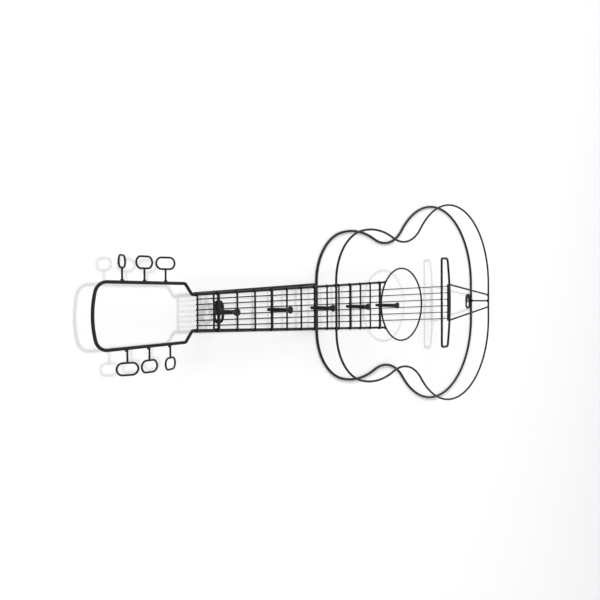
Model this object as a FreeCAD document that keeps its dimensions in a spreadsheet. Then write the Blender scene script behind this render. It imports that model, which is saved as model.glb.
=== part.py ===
# Wall rack in the outline of an acoustic guitar: a welded frame of bent steel wire with
# five coat pegs along the neck and two keyhole plates that hook over screws in a wall.
#
# Frame of reference: X runs along the neck from the headstock to the tail, Y points into
# the wall and Z is up. The wall is the plane Y = 0. The origin is the centre of the round
# hole in the tail keyhole plate, on the face that lies against the wall.
import FreeCAD, Part
import math
import os

import Sketcher

doc = FreeCAD.newDocument("WallGuitarRack")

# Driving dimensions in millimetres, angles in degrees
DRIVING_SIZES = {
    # wire radii
    "front_radius": 1.8,
    "back_radius": 2.0,
    "head_radius": 2.0,
    "rail_radius": 1.8,
    "nut_radius": 1.15,
    "fret_radius": 1.3,
    "peg_bar_radius": 2.0,
    "string_radius": 0.75,
    "ring_radius": 1.45,
    "bridge_radius": 1.9,
    "anchor_radius": 2.2,
    "tail_wire_radius": 1.4,
    "spacer_radius": 1.6,
    "hanger_radius": 1.3,
    "key_radius": 1.2,
    # body outline, the same at the front and at the back
    "body_depth": 39.3,
    "neck_flat": 38.5,
    "shoulder_bend": 82.9,
    "shoulder_angle": 76.0,
    "upper_bout_bend": 145.7,
    "upper_bout_angle": 36.0,
    "waist_bend": 76.0,
    "waist_angle": 71.0,
    "lower_bout_bend": 147.4,
    # soundhole and neck, as distances along the neck and from its axis
    "soundhole_edge_from_neck_flat": 117.9,
    "soundhole_bend": 61.6,
    "nut_from_neck_flat": 269.7,
    "nut_spread": 22.2,
    "neck_end_spread": 37.7,
    "fret_gap_ratio": 0.978,
    "back_rail_lift": 1.2,
    "back_rail_spread": 35.0,
    # bridge, strings and tailpiece
    "bridge_from_soundhole": 130.9,
    "bridge_side_flat": 70.4,
    "bridge_end_flat": 12.5,
    "bridge_corner": 4.0,
    "bridge_bow_angle": 15.2,
    "string_spread_nut": 16.3,
    "string_spread_bridge": 30.5,
    "anchor_length": 69.0,
    "tail_wire_spread": 33.5,
    "tail_wire_spread_end": 12.5,
    # headstock and its tuning keys
    "joint_flat": 4.0,
    "joint_bend": 4.0,
    "joint_angle": 53.0,
    "joint_slope": 13.0,
    "head_taper_angle": 1.0,
    "head_side": 106.0,
    "head_corner": 15.0,
    "head_corner_angle": 77.0,
    "upper_keys_from_nut": 45.1,
    "lower_keys_from_nut": 39.4,
    "key_gap": 29.8,
    "key_stem": 14.5,
    "key_loop_bend": 6.85,
    "key_loop_flat": 10.7,
    "key_angle_1": 40.0,
    "key_angle_2": 8.0,
    "key_angle_3": -7.0,
    "key_angle_4": -20.0,
    "key_angle_5": 9.5,
    "key_angle_6": 26.0,
    # coat pegs
    "peg_length": 36.0,
    "peg_radius": 2.8,
    "knob_radius": 5.0,
    "knob_dome": 1.0,
    "knob_rim": 1.2,
    "knob_flare": 5.0,
    "peg_tail_radius": 2.4,
    "peg_tail_length": 7.0,
    "peg_hole_clearance": 0.05,
    # keyhole plates and what carries the one at the neck
    "plate_width": 18.0,
    "plate_height": 31.0,
    "plate_thickness": 1.6,
    "plate_drop": 1.0,
    "keyhole_drop": 6.0,
    "keyhole_radius": 5.5,
    "slot_width": 5.0,
    "slot_rise": 11.0,
    "hanger_bar_from_peg": 5.1,
    "hanger_bar_lap": 0.5,
    "hanger_arm_offset": 2.0,
    "hanger_bend": 3.0,
    "hanger_lap": 3.0,
    # gap left for weld metal where two wires meet at a slant
    "weld_gap": 0.3,
    # gap between pieces that pass each other without a weld
    "passing_gap": 0.2,
}

sheet = doc.addObject("Spreadsheet::Sheet", "Sizes")
for row, (alias, value) in enumerate(DRIVING_SIZES.items(), start=1):
    sheet.set(f"A{row}", alias)
    sheet.set(f"B{row}", str(value))
    sheet.setAlias(f"B{row}", alias)
doc.recompute()


class Size:
    """A length or angle that carries its value and the expression that drives it."""

    def __init__(self, value, text):
        self.value = value
        self.text = text

    @staticmethod
    def of(other):
        return other if isinstance(other, Size) else Size(float(other), repr(float(other)))

    def join(self, sign, other, value):
        return Size(value, f"({self.text} {sign} {other.text})")

    def __add__(self, other):
        other = Size.of(other)
        return self.join("+", other, self.value + other.value)

    def __radd__(self, other):
        return Size.of(other) + self

    def __sub__(self, other):
        other = Size.of(other)
        return self.join("-", other, self.value - other.value)

    def __rsub__(self, other):
        return Size.of(other) - self

    def __mul__(self, other):
        other = Size.of(other)
        return self.join("*", other, self.value * other.value)

    def __rmul__(self, other):
        return Size.of(other) * self

    def __truediv__(self, other):
        other = Size.of(other)
        return self.join("/", other, self.value / other.value)

    def __pow__(self, power):
        return Size(self.value**power, f"({self.text} ^ {power})")

    def __neg__(self):
        return Size(-self.value, f"(-{self.text})")


def size(alias):
    """One driving dimension, read from its cell."""
    return Size(float(getattr(sheet, alias)), f"Sizes.{alias}")


def root(length):
    return Size(math.sqrt(length.value), f"sqrt({length.text})")


def sine(angle):
    return Size(math.sin(math.radians(angle.value)), f"sin({angle.text})")


def cosine(angle):
    return Size(math.cos(math.radians(angle.value)), f"cos({angle.text})")


ZERO = Size.of(0)

# --- layers across the depth ---------------------------------------------------------
# The back outline touches the wall. Wires that cross the neck all lie with their backs
# on one plane, the front of the rails, and the strings touch that plane from behind.
back_y = -size("back_radius")
front_y = back_y - size("body_depth")
weld_y = front_y + size("front_radius")
rail_y = weld_y + size("rail_radius")
string_y = weld_y + size("string_radius")
head_y = weld_y + size("head_radius")

# --- stations along the neck and heights above its axis --------------------------------
axis_z = size("keyhole_drop") + size("plate_drop")
plate_bite = size("back_radius") - size("plate_thickness")
tail_x = size("plate_width") / 2 + root(size("back_radius") ** 2 - plate_bite**2)
# Headings of the body outline where one bend runs into the next
shoulder_end = 90 - size("shoulder_angle")
upper_bout_end = shoulder_end - size("upper_bout_angle")
waist_end = upper_bout_end + size("waist_angle")
body_length = (
    size("shoulder_bend") * (1 - sine(shoulder_end))
    + size("upper_bout_bend") * (sine(shoulder_end) - sine(upper_bout_end))
    + size("waist_bend") * (sine(waist_end) - sine(upper_bout_end))
    + size("lower_bout_bend") * (sine(waist_end) + 1)
)
body_start_x = tail_x - body_length

# The neck keeps its place on the body's neck end, so bars and outline never meet
soundhole_x = body_start_x + size("soundhole_edge_from_neck_flat") + size("soundhole_bend")
nut_x = body_start_x - size("nut_from_neck_flat")
neck_end_reach = root(size("soundhole_bend") ** 2 - size("neck_end_spread") ** 2)
neck_end_x = soundhole_x - neck_end_reach
rail_slope = (size("neck_end_spread") - size("nut_spread")) / (neck_end_x - nut_x)


def rail_spread(x):
    """Half the distance between the two neck rails at a station."""
    return size("nut_spread") + (x - nut_x) * rail_slope


# Bars across the neck, whose gaps shrink by one ratio; the last one clears the soundhole
NECK_BARS = 13
last_bar_x = (
    soundhole_x
    - size("soundhole_bend")
    - size("ring_radius")
    - size("peg_radius")
    - size("passing_gap")
)


def neck_bar_x(number):
    """Station of one bar across the neck, counted from the nut."""
    ratio = size("fret_gap_ratio")
    return nut_x + (last_bar_x - nut_x) * (1 - ratio**number) / (1 - ratio**NECK_BARS)


# --- ways of making a piece --------------------------------------------------------------
def place(piece, x=ZERO, y=ZERO, z=ZERO, turn="rotation(0; 0; 0)"):
    """Puts a piece where the sizes say, with an optional turn."""
    piece.setExpression("Placement", f"placement(vector({x.text}; {y.text}; {z.text}); {turn})")


def straight_wire(label, radius, start, end):
    """A straight length of round wire between two points of its centre line."""
    run = [b - a for a, b in zip(start, end)]
    wire = doc.addObject("Part::Cylinder", label)
    wire.Label = label
    wire.setExpression("Radius", radius.text)
    wire.setExpression("Height", root(run[0] ** 2 + run[1] ** 2 + run[2] ** 2).text)
    direction = "; ".join(part.text for part in run)
    place(wire, *start, turn=f"rotation(vector(0; 0; 1); vector({direction}))")
    return wire


def cross_wire(label, radius, x, y, reach):
    """An upright wire across the neck, reaching as far above the axis as below it."""
    return straight_wire(label, radius, (x, y, axis_z - reach), (x, y, axis_z + reach))


def new_body(label):
    body = doc.addObject("PartDesign::Body", label)
    body.Label = label
    return body


def origin_plane(body, role):
    return next(part for part in body.Origin.OriginFeatures if part.Role == role)


def new_sketch(body, name, role):
    sketch = body.newObject("Sketcher::SketchObject", name)
    sketch.AttachmentSupport = [(origin_plane(body, role), "")]
    sketch.MapMode = "FlatFace"
    return sketch


def drive(sketch, kind, where, length):
    """Adds a sketch constraint whose value follows the sheet."""
    index = sketch.addConstraint(Sketcher.Constraint(kind, *where, length.value))
    sketch.setExpression(f"Constraints[{index}]", length.text)


def drive_angle(sketch, arc, angle):
    index = sketch.addConstraint(Sketcher.Constraint("Angle", arc, math.radians(angle.value)))
    sketch.setExpression(f"Constraints[{index}]", angle.text)


def pin_point(sketch, element, end, x, y):
    """Holds one point of a sketch at the coordinates that the sheet gives."""
    for kind, axis, distance in (("DistanceX", -2, x), ("DistanceY", -1, y)):
        if distance is ZERO:
            sketch.addConstraint(Sketcher.Constraint("PointOnObject", element, end, axis))
        else:
            drive(sketch, kind, (-1, 1, element, end), distance)


def section(body, name, role, radius, x, y):
    """The round section of a wire, square to the start of its path."""
    sketch = new_sketch(body, name, role)
    circle = Part.Circle(FreeCAD.Vector(x.value, y.value, 0), FreeCAD.Vector(0, 0, 1), radius.value)
    sketch.addGeometry(circle, False)
    drive(sketch, "Radius", (0,), radius)
    pin_point(sketch, 0, 3, x, y)
    return sketch


def bent_path(sketch, start, heading, runs):
    """Straight runs and tangent bends, drawn one after the other from a start point.

    A run is ("line", length) or ("bend", side, radius, turn), where side is 1 for a bend
    to the right and -1 to the left. The last run may leave sizes out: a line then runs on
    to the sketch's horizontal axis, and a bend closes square onto that axis.
    """
    x, y = (part.value for part in start)
    last = None
    for run in runs:
        closing = None in run
        if run[0] == "line":
            length = y if closing else run[1].value
            end_x = x + length * math.cos(math.radians(heading))
            end_y = y + length * math.sin(math.radians(heading))
            line = Part.LineSegment(FreeCAD.Vector(x, y, 0), FreeCAD.Vector(end_x, end_y, 0))
            element = sketch.addGeometry(line, False)
            entry, leave = 1, 2
            if not closing:
                drive(sketch, "Distance", (element,), run[1])
        else:
            side = run[1]
            turn = abs(-90 - heading + 360 * (heading > 90)) if run[3] is None else run[3].value
            radius = y / math.sin(math.radians(turn)) if run[2] is None else run[2].value
            centre_x = x + side * radius * math.sin(math.radians(heading))
            centre_y = y - side * radius * math.cos(math.radians(heading))
            begin = math.atan2(y - centre_y, x - centre_x)
            finish = begin - side * math.radians(turn)
            circle = Part.Circle(
                FreeCAD.Vector(centre_x, centre_y, 0), FreeCAD.Vector(0, 0, 1), radius
            )
            low, high, entry, leave = (finish, begin, 2, 1) if side > 0 else (begin, finish, 1, 2)
            element = sketch.addGeometry(Part.ArcOfCircle(circle, low, high), False)
            end_x = centre_x + radius * math.cos(finish)
            end_y = centre_y + radius * math.sin(finish)
            heading -= side * turn
            if run[2] is not None:
                drive(sketch, "Radius", (element,), run[2])
            if run[3] is not None:
                drive_angle(sketch, element, run[3])
            elif closing and run[2] is None:
                sketch.addConstraint(Sketcher.Constraint("PointOnObject", element, 3, -1))
        if last is None:
            pin_point(sketch, element, entry, *start)
            if run[0] == "line":
                upright = abs(math.cos(math.radians(heading))) < 0.5
                kind = "Vertical" if upright else "Horizontal"
                sketch.addConstraint(Sketcher.Constraint(kind, element))
        else:
            sketch.addConstraint(Sketcher.Constraint("Tangent", *last, element, entry))
        if run[0] == "line" and closing:
            sketch.addConstraint(Sketcher.Constraint("Vertical", element))
        if closing and (run[0] == "line" or run[2] is None):
            sketch.addConstraint(Sketcher.Constraint("PointOnObject", element, leave, -1))
        last = (element, leave)
        x, y = end_x, end_y


def bent_wire(body, name, radius, start, heading, runs, section_role, path_role="XZ_Plane"):
    """Wire of round section along straight runs and bends."""
    path = new_sketch(body, name + "_path", path_role)
    bent_path(path, start, heading, runs)
    if section_role == "XY_Plane":
        profile = section(body, name + "_section", section_role, radius, start[0], ZERO)
    else:
        profile = section(body, name + "_section", section_role, radius, ZERO, start[1])
    pipe = body.newObject("PartDesign::AdditivePipe", name)
    pipe.Profile = profile
    pipe.Spine = (path, [])
    doc.recompute()
    return pipe


def mirror(body, feature, role):
    """Adds the other half of a wire that is the same on both sides of a plane."""
    mirrored = body.newObject("PartDesign::Mirrored", feature.Name + "_mirrored")
    mirrored.Originals = [feature]
    mirrored.MirrorPlane = (origin_plane(body, role), [""])
    body.Tip = mirrored
    doc.recompute()


# --- body of the guitar ------------------------------------------------------------------
def body_outline(label, radius, y):
    """One closed outline of the body: flat at the neck, two bouts with a waist between
    them, and a flat tail that takes up whatever width the bends leave."""
    body = new_body(label)
    runs = [
        ("line", size("neck_flat")),
        ("bend", 1, size("shoulder_bend"), size("shoulder_angle")),
        ("bend", 1, size("upper_bout_bend"), size("upper_bout_angle")),
        ("bend", -1, size("waist_bend"), size("waist_angle")),
        ("bend", 1, size("lower_bout_bend"), None),
        ("line", None),
    ]
    half = bent_wire(body, label + "_half", radius, (ZERO, ZERO), 90, runs, "XY_Plane")
    mirror(body, half, "XY_Plane")
    place(body, body_start_x, y, axis_z)
    return body


def soundhole_ring():
    ring = doc.addObject("Part::Torus", "soundhole_ring")
    ring.Label = "soundhole_ring"
    ring.setExpression("Radius1", size("soundhole_bend").text)
    ring.setExpression("Radius2", size("ring_radius").text)
    facing = "rotation(vector(1; 0; 0); 90)"
    place(ring, soundhole_x, weld_y - size("ring_radius"), axis_z, facing)
    return ring


def tail_spacer():
    """Straight bar that holds the two outlines apart at the tail."""
    front = (tail_x, front_y + size("front_radius"), axis_z)
    back = (tail_x, back_y - size("back_radius"), axis_z)
    return straight_wire("tail_spacer", size("spacer_radius"), front, back)


# --- neck ----------------------------------------------------------------------------------
def neck_rail(label, side):
    start = (nut_x + size("passing_gap"), rail_y, axis_z + side * size("nut_spread"))
    end = (neck_end_x, rail_y, axis_z + side * size("neck_end_spread"))
    return straight_wire(label, size("rail_radius"), start, end)


# Each back rail starts against a front rail at the nut and slopes to the back outline
back_rail_gap = root((2 * size("rail_radius")) ** 2 - size("back_rail_lift") ** 2)
back_rail_start_y = rail_y + back_rail_gap
back_rail_start_spread = size("nut_spread") + size("back_rail_lift")
back_rail_end_x = body_start_x - size("back_radius") - size("weld_gap")


def back_rail_at(x):
    """Depth and spread of the back rails' centre line at a station."""
    share = (x - nut_x) / (back_rail_end_x - nut_x)
    depth = back_rail_start_y + share * (back_y - back_rail_start_y)
    spread = back_rail_start_spread + share * (size("back_rail_spread") - back_rail_start_spread)
    return depth, spread


def back_rail(label, side):
    start = (nut_x, back_rail_start_y, axis_z + side * back_rail_start_spread)
    end = (back_rail_end_x, back_y, axis_z + side * size("back_rail_spread"))
    return straight_wire(label, size("rail_radius"), start, end)


def neck_bar(label, radius, x):
    """Wire welded across the front of the rails, out to their outer edges."""
    return cross_wire(label, radius, x, weld_y - radius, rail_spread(x) + size("rail_radius"))


def coat_peg(label, x):
    """Turned peg with a flared, domed knob. The peg bar passes through a hole near its
    rear end, and the rounded tail shows behind the bar."""
    body = new_body(label)
    knob_edge = size("knob_dome") - size("peg_length")
    flare_start = knob_edge + size("knob_rim")
    flare_end = flare_start + size("knob_flare")
    shoulder = size("peg_bar_radius")
    tail_end = shoulder + size("peg_tail_length")
    outline = [
        (ZERO, -size("peg_length"), True),
        (size("knob_radius"), knob_edge, False),
        (size("knob_radius"), flare_start, False),
        (size("peg_radius"), flare_end, False),
        (size("peg_radius"), shoulder, False),
        (size("peg_tail_radius"), shoulder, False),
        (size("peg_tail_radius"), tail_end - size("peg_tail_radius"), True),
        (ZERO, tail_end, False),
    ]
    sketch = new_sketch(body, label + "_profile", "XY_Plane")
    turned_profile(sketch, outline)
    turning = body.newObject("PartDesign::Revolution", label + "_turning")
    turning.Profile = sketch
    turning.ReferenceAxis = (sketch, ["V_Axis"])
    turning.Angle = 360
    doc.recompute()
    hole_radius = size("peg_bar_radius") + size("peg_hole_clearance")
    hole = section(body, label + "_hole_section", "XY_Plane", hole_radius, ZERO, ZERO)
    cut = body.newObject("PartDesign::Pocket", label + "_bar_hole")
    cut.Profile = hole
    cut.Type = "ThroughAll"
    cut.Midplane = True
    doc.recompute()
    place(body, x, weld_y - size("peg_bar_radius"), axis_z)
    return body


def turned_profile(sketch, outline):
    """Half section of a turned piece. Each corner says whether the edge that leaves it is
    an arc centred on the axis of the lathe."""
    count = len(outline)
    for index, (x, y, curved) in enumerate(outline):
        next_x, next_y, _ = outline[(index + 1) % count]
        here = FreeCAD.Vector(x.value, y.value, 0)
        there = FreeCAD.Vector(next_x.value, next_y.value, 0)
        if curved:
            span = next_x.value**2 - x.value**2 + next_y.value**2 - y.value**2
            centre = FreeCAD.Vector(0, span / (2 * (next_y.value - y.value)), 0)
            radius = (here - centre).Length
            angles = [math.atan2(p.y - centre.y, p.x - centre.x) for p in (here, there)]
            circle = Part.Circle(centre, FreeCAD.Vector(0, 0, 1), radius)
            sketch.addGeometry(Part.ArcOfCircle(circle, *angles), False)
            sketch.addConstraint(Sketcher.Constraint("PointOnObject", index, 3, -2))
        else:
            sketch.addGeometry(Part.LineSegment(here, there), False)
        pin_point(sketch, index, 1, x, y)
        if index:
            sketch.addConstraint(Sketcher.Constraint("Coincident", index - 1, 2, index, 1))
    sketch.addConstraint(Sketcher.Constraint("Coincident", count - 1, 2, 0, 1))


# --- headstock -----------------------------------------------------------------------------
def headstock_frame():
    """Wire that leaves both rails at the nut, widens to the head and closes round its end."""
    body = new_body("headstock_frame")
    runs = [
        ("line", size("joint_flat")),
        ("bend", 1, size("joint_bend"), size("joint_angle")),
        ("line", size("joint_slope")),
        ("bend", -1, size("joint_bend"), size("joint_angle") - size("head_taper_angle")),
        ("line", size("head_side")),
        ("bend", -1, size("head_corner"), size("head_corner_angle")),
        ("bend", -1, None, None),
    ]
    start = (ZERO, size("nut_spread"))
    half = bent_wire(body, "head_half", size("head_radius"), start, 180, runs, "YZ_Plane")
    mirror(body, half, "XY_Plane")
    place(body, nut_x, head_y, axis_z)
    return body


# Where the side of the head starts, measured from the end of the rail at the nut
side_start_x = nut_x - (
    size("joint_flat")
    + size("joint_bend") * (2 * sine(size("joint_angle")) - sine(size("head_taper_angle")))
    + size("joint_slope") * cosine(size("joint_angle"))
)
side_start_spread = (
    size("nut_spread")
    + size("joint_bend")
    * (1 + cosine(size("head_taper_angle")) - 2 * cosine(size("joint_angle")))
    + size("joint_slope") * sine(size("joint_angle"))
)


def tuner_key(number, side, x):
    """Tuning key of one wire: a stem welded to the headstock frame and an oval loop that
    is twisted a little about the stem."""
    label = f"tuner_key_{number}"
    body = new_body(label)
    stem = body.newObject("PartDesign::Pad", label + "_stem")
    stem.Profile = section(body, label + "_stem_section", "XY_Plane", size("key_radius"), ZERO, ZERO)
    stem.setExpression("Length", size("key_stem").text)
    doc.recompute()
    runs = [
        ("line", size("key_loop_flat") / 2),
        ("bend", -1, size("key_loop_bend"), Size.of(180)),
        ("line", size("key_loop_flat") / 2),
    ]
    start = (ZERO, size("key_stem"))
    half = bent_wire(body, label + "_loop", size("key_radius"), start, 0, runs, "YZ_Plane")
    mirror(body, half, "YZ_Plane")
    along = side_start_x - x
    spread = side_start_spread + along * sine(size("head_taper_angle")) / cosine(size("head_taper_angle"))
    foot = spread + size("head_radius") / cosine(size("head_taper_angle"))
    twist = size(f"key_angle_{number}").text
    turn = f"rotation({twist}; 0; {0 if side > 0 else 180})"
    place(body, x, head_y, axis_z + side * foot, turn)
    return body


# --- bridge, strings and tailpiece -----------------------------------------------------------
bridge_x = soundhole_x + size("bridge_from_soundhole")
bridge_y = weld_y - size("bridge_radius")
bridge_top = size("bridge_side_flat") + size("bridge_corner")
bow_bend = (bridge_top - size("bridge_corner") * (1 - sine(size("bridge_bow_angle")))) / sine(
    size("bridge_bow_angle")
)
bow_x = (
    bridge_x
    + size("bridge_corner") * (1 + cosine(size("bridge_bow_angle")))
    + size("bridge_end_flat")
    + bow_bend * (1 - cosine(size("bridge_bow_angle")))
)
anchor_step = 2 * root(size("anchor_radius") * size("bridge_radius"))
# The straight bar meets the bowed wire at the bar's two ends
anchor_rise = bow_bend - root(bow_bend**2 - (size("anchor_length") / 2) ** 2)
anchor_x = bow_x - anchor_rise - anchor_step - size("passing_gap")
anchor_y = weld_y - size("anchor_radius")


def bridge_frame():
    """Flat ring of wire, straight on the soundhole side and bowed on the tail side."""
    body = new_body("bridge_frame")
    corner = size("bridge_corner")
    runs = [
        ("line", size("bridge_side_flat")),
        ("bend", 1, corner, Size.of(90)),
        ("line", size("bridge_end_flat")),
        ("bend", 1, corner, 90 - size("bridge_bow_angle")),
        ("bend", 1, None, None),
    ]
    half = bent_wire(body, "bridge_half", size("bridge_radius"), (ZERO, ZERO), 90, runs, "XY_Plane")
    mirror(body, half, "XY_Plane")
    place(body, bridge_x, bridge_y, axis_z)
    return body


def guitar_string(number):
    """String from behind the nut to behind the anchor bar; number runs from 1 to 6."""
    share = (2 * number - 7) / 5
    start = (nut_x, string_y, axis_z + share * size("string_spread_nut"))
    end_x = anchor_x + size("anchor_radius")
    end = (end_x, string_y, axis_z + share * size("string_spread_bridge"))
    return straight_wire(f"string_{number}", size("string_radius"), start, end)


def tailpiece_wire(label, side):
    """Wire from the bowed side of the bridge to the front outline at the tail."""
    rise = bow_bend - root(bow_bend**2 - size("tail_wire_spread") ** 2)
    start_x = bow_x - rise + size("bridge_radius") + size("weld_gap")
    end_x = tail_x - size("front_radius") - size("weld_gap")
    start = (start_x, front_y, axis_z + side * size("tail_wire_spread"))
    end = (end_x, front_y, axis_z + side * size("tail_wire_spread_end"))
    return straight_wire(label, size("tail_wire_radius"), start, end)


# --- what hangs it on the wall ---------------------------------------------------------------
def slot_shape(sketch, low, high, radius):
    """Upright slot outline: two half circles joined by straight sides."""
    centres = (high, low)
    for index, centre in enumerate(centres):
        circle = Part.Circle(
            FreeCAD.Vector(0, centre.value, 0), FreeCAD.Vector(0, 0, 1), radius.value
        )
        begin = index * math.pi
        sketch.addGeometry(Part.ArcOfCircle(circle, begin, begin + math.pi), False)
        pin_point(sketch, index, 3, ZERO, centre)
    for side in (-1, 1):
        top = FreeCAD.Vector(side * radius.value, high.value, 0)
        bottom = FreeCAD.Vector(side * radius.value, low.value, 0)
        sketch.addGeometry(Part.LineSegment(top, bottom), False)
    for line, top_end, bottom_end in ((2, 2, 1), (3, 1, 2)):
        sketch.addConstraint(Sketcher.Constraint("Tangent", 0, top_end, line, 1))
        sketch.addConstraint(Sketcher.Constraint("Tangent", 1, bottom_end, line, 2))
    drive(sketch, "Radius", (0,), radius)


def keyhole_plate(label, x, y):
    """Oval plate with a keyhole: the screw head enters the round hole and the shank
    slides up into the slot. Its own origin is the centre of the round hole."""
    body = new_body(label)
    end_radius = size("plate_width") / 2
    half_height = size("plate_height") / 2 - end_radius
    blank = new_sketch(body, label + "_outline", "XZ_Plane")
    slot_shape(
        blank, size("keyhole_drop") - half_height, size("keyhole_drop") + half_height, end_radius
    )
    plate = body.newObject("PartDesign::Pad", label + "_blank")
    plate.Profile = blank
    plate.setExpression("Length", size("plate_thickness").text)
    doc.recompute()
    hole = section(body, label + "_round", "XZ_Plane", size("keyhole_radius"), ZERO, ZERO)
    slot = new_sketch(body, label + "_slot", "XZ_Plane")
    slot_shape(slot, ZERO, size("slot_rise"), size("slot_width") / 2)
    for name, profile in (("round_hole", hole), ("screw_slot", slot)):
        cut = body.newObject("PartDesign::Pocket", f"{label}_{name}")
        cut.Profile = profile
        cut.Type = "ThroughAll"
        cut.Midplane = True
        doc.recompute()
    place(body, x, y)
    return body


# The hanger bar lies behind the back rails, just past the tail of the first peg. The edge
# of the neck plate laps onto the back of it.
hanger_bar_x = neck_bar_x(1) + size("hanger_bar_from_peg")
hanger_bar_depth, hanger_bar_spread = back_rail_at(hanger_bar_x)
hanger_y = hanger_bar_depth + size("rail_radius") + size("hanger_radius") + size("weld_gap")
hanger_edge_x = hanger_bar_x + size("hanger_radius")
neck_plate_x = hanger_edge_x + size("plate_width") / 2 - size("hanger_bar_lap")
neck_plate_y = hanger_y + size("hanger_radius") + size("plate_thickness")


def hanger_bar():
    """Thin wire across the back rails, out to their outer edges."""
    reach = hanger_bar_spread + size("rail_radius")
    return cross_wire("hanger_bar", size("hanger_radius"), hanger_bar_x, hanger_y, reach)


def hanger_arm(label, side):
    """Bent wire from the face of the neck plate to the inside of a back rail, where its
    end turns along the rail towards the hanger bar."""
    body = new_body(label)
    arm_x = neck_plate_x - size("hanger_arm_offset")
    rail_depth, spread = back_rail_at(arm_x)
    bend = size("hanger_bend")
    touch = size("rail_radius") + size("hanger_radius") + size("weld_gap")
    top = spread - root(touch**2 - (hanger_y - rail_depth) ** 2)
    start = size("plate_height") / 2 - side * size("plate_drop") - size("hanger_lap")
    runs = [
        ("line", top - bend - start),
        ("bend", -1, bend, Size.of(90)),
        ("line", arm_x - bend - hanger_edge_x - size("weld_gap")),
    ]
    bent_wire(body, label + "_wire", size("hanger_radius"), (ZERO, ZERO), 90, runs, "XY_Plane")
    turn = f"rotation(vector(1; 0; 0); {0 if side > 0 else 180})"
    place(body, arm_x, hanger_y, axis_z + side * start, turn)
    return body


# --- assembly ------------------------------------------------------------------------------
parts = [
    body_outline("body_front_outline", size("front_radius"), front_y),
    body_outline("body_back_outline", size("back_radius"), back_y),
    tail_spacer(),
    soundhole_ring(),
    headstock_frame(),
    neck_rail("neck_rail_upper", 1),
    neck_rail("neck_rail_lower", -1),
    back_rail("back_rail_upper", 1),
    back_rail("back_rail_lower", -1),
    neck_bar("nut_bar", size("nut_radius"), nut_x),
    bridge_frame(),
    cross_wire(
        "string_anchor_bar", size("anchor_radius"), anchor_x, anchor_y, size("anchor_length") / 2
    ),
    tailpiece_wire("tailpiece_wire_upper", 1),
    tailpiece_wire("tailpiece_wire_lower", -1),
    keyhole_plate("tail_keyhole_plate", ZERO, ZERO),
    keyhole_plate("neck_keyhole_plate", neck_plate_x, neck_plate_y),
    hanger_bar(),
    hanger_arm("hanger_arm_upper", 1),
    hanger_arm("hanger_arm_lower", -1),
]

# Every third bar across the neck, from the first, is a thick one that carries a coat peg
thin_frets = 0
for bar in range(1, NECK_BARS + 1):
    x = neck_bar_x(bar)
    if bar % 3 == 1:
        peg = bar // 3 + 1
        parts.append(neck_bar(f"peg_bar_{peg}", size("peg_bar_radius"), x))
        parts.append(coat_peg(f"coat_peg_{peg}", x))
    else:
        thin_frets += 1
        parts.append(neck_bar(f"fret_{thin_frets}", size("fret_radius"), x))

for number in range(1, 7):
    parts.append(guitar_string(number))

for place_in_row in range(3):
    step = (2 - place_in_row) * size("key_gap")
    upper_x = nut_x - size("upper_keys_from_nut") - step
    lower_x = nut_x - size("lower_keys_from_nut") - step
    parts.append(tuner_key(place_in_row + 1, 1, upper_x))
    parts.append(tuner_key(place_in_row + 4, -1, lower_x))

doc.recompute()
for item in doc.Objects:
    if "Invalid" in item.State or "Error" in item.State:
        raise RuntimeError(f"{item.Label} failed: {item.State}")
for part in parts:
    if part.Shape.isNull() or not part.Shape.isValid() or len(part.Shape.Solids) != 1:
        raise RuntimeError(f"{part.Label} is not one sound solid")

os.makedirs("parts", exist_ok=True)
for part in parts:
    part.Shape.exportStep(f"parts/{part.Label}.step")
print(len(parts), "parts written")
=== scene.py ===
import math

import bpy
from mathutils import Matrix, Vector


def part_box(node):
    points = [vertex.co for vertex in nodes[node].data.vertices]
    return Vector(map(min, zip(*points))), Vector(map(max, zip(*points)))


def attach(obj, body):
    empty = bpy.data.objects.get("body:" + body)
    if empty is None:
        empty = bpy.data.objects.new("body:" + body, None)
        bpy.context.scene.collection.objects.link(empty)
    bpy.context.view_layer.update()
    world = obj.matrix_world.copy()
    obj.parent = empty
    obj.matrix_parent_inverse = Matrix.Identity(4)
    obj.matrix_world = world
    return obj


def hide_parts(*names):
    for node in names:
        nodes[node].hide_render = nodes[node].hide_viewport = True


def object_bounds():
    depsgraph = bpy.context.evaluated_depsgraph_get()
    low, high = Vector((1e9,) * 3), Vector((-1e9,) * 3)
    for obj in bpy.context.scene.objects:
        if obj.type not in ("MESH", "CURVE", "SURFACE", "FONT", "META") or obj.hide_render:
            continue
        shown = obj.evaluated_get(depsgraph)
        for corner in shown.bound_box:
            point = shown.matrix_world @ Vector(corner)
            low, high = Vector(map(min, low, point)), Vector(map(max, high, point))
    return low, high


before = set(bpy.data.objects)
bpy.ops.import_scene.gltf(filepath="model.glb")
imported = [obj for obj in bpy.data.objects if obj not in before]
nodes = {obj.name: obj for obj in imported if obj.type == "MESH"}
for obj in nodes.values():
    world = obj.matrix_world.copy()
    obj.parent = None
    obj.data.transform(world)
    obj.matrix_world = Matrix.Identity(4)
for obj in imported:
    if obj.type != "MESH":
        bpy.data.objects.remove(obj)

cad_low, cad_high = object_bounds()

# --- Body outlines ---------------------------------------------------------------------------
# Two guitar outlines, one against the wall and one in front of it, held apart by a short bar
# at the tail. Each is a length of mild steel wire bent on a former and butt welded into a
# closed loop. The whole frame is powder coated satin black after it is welded.
MM = 0.001


def srgb(hex_colour):
    """A colour written as sRGB hex, as the linear colour that a shader takes."""
    shares = [int(hex_colour[place : place + 2], 16) / 255 for place in (1, 3, 5)]
    linear = [s / 12.92 if s <= 0.04045 else ((s + 0.055) / 1.055) ** 2.4 for s in shares]
    return (*linear, 1)


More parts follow.
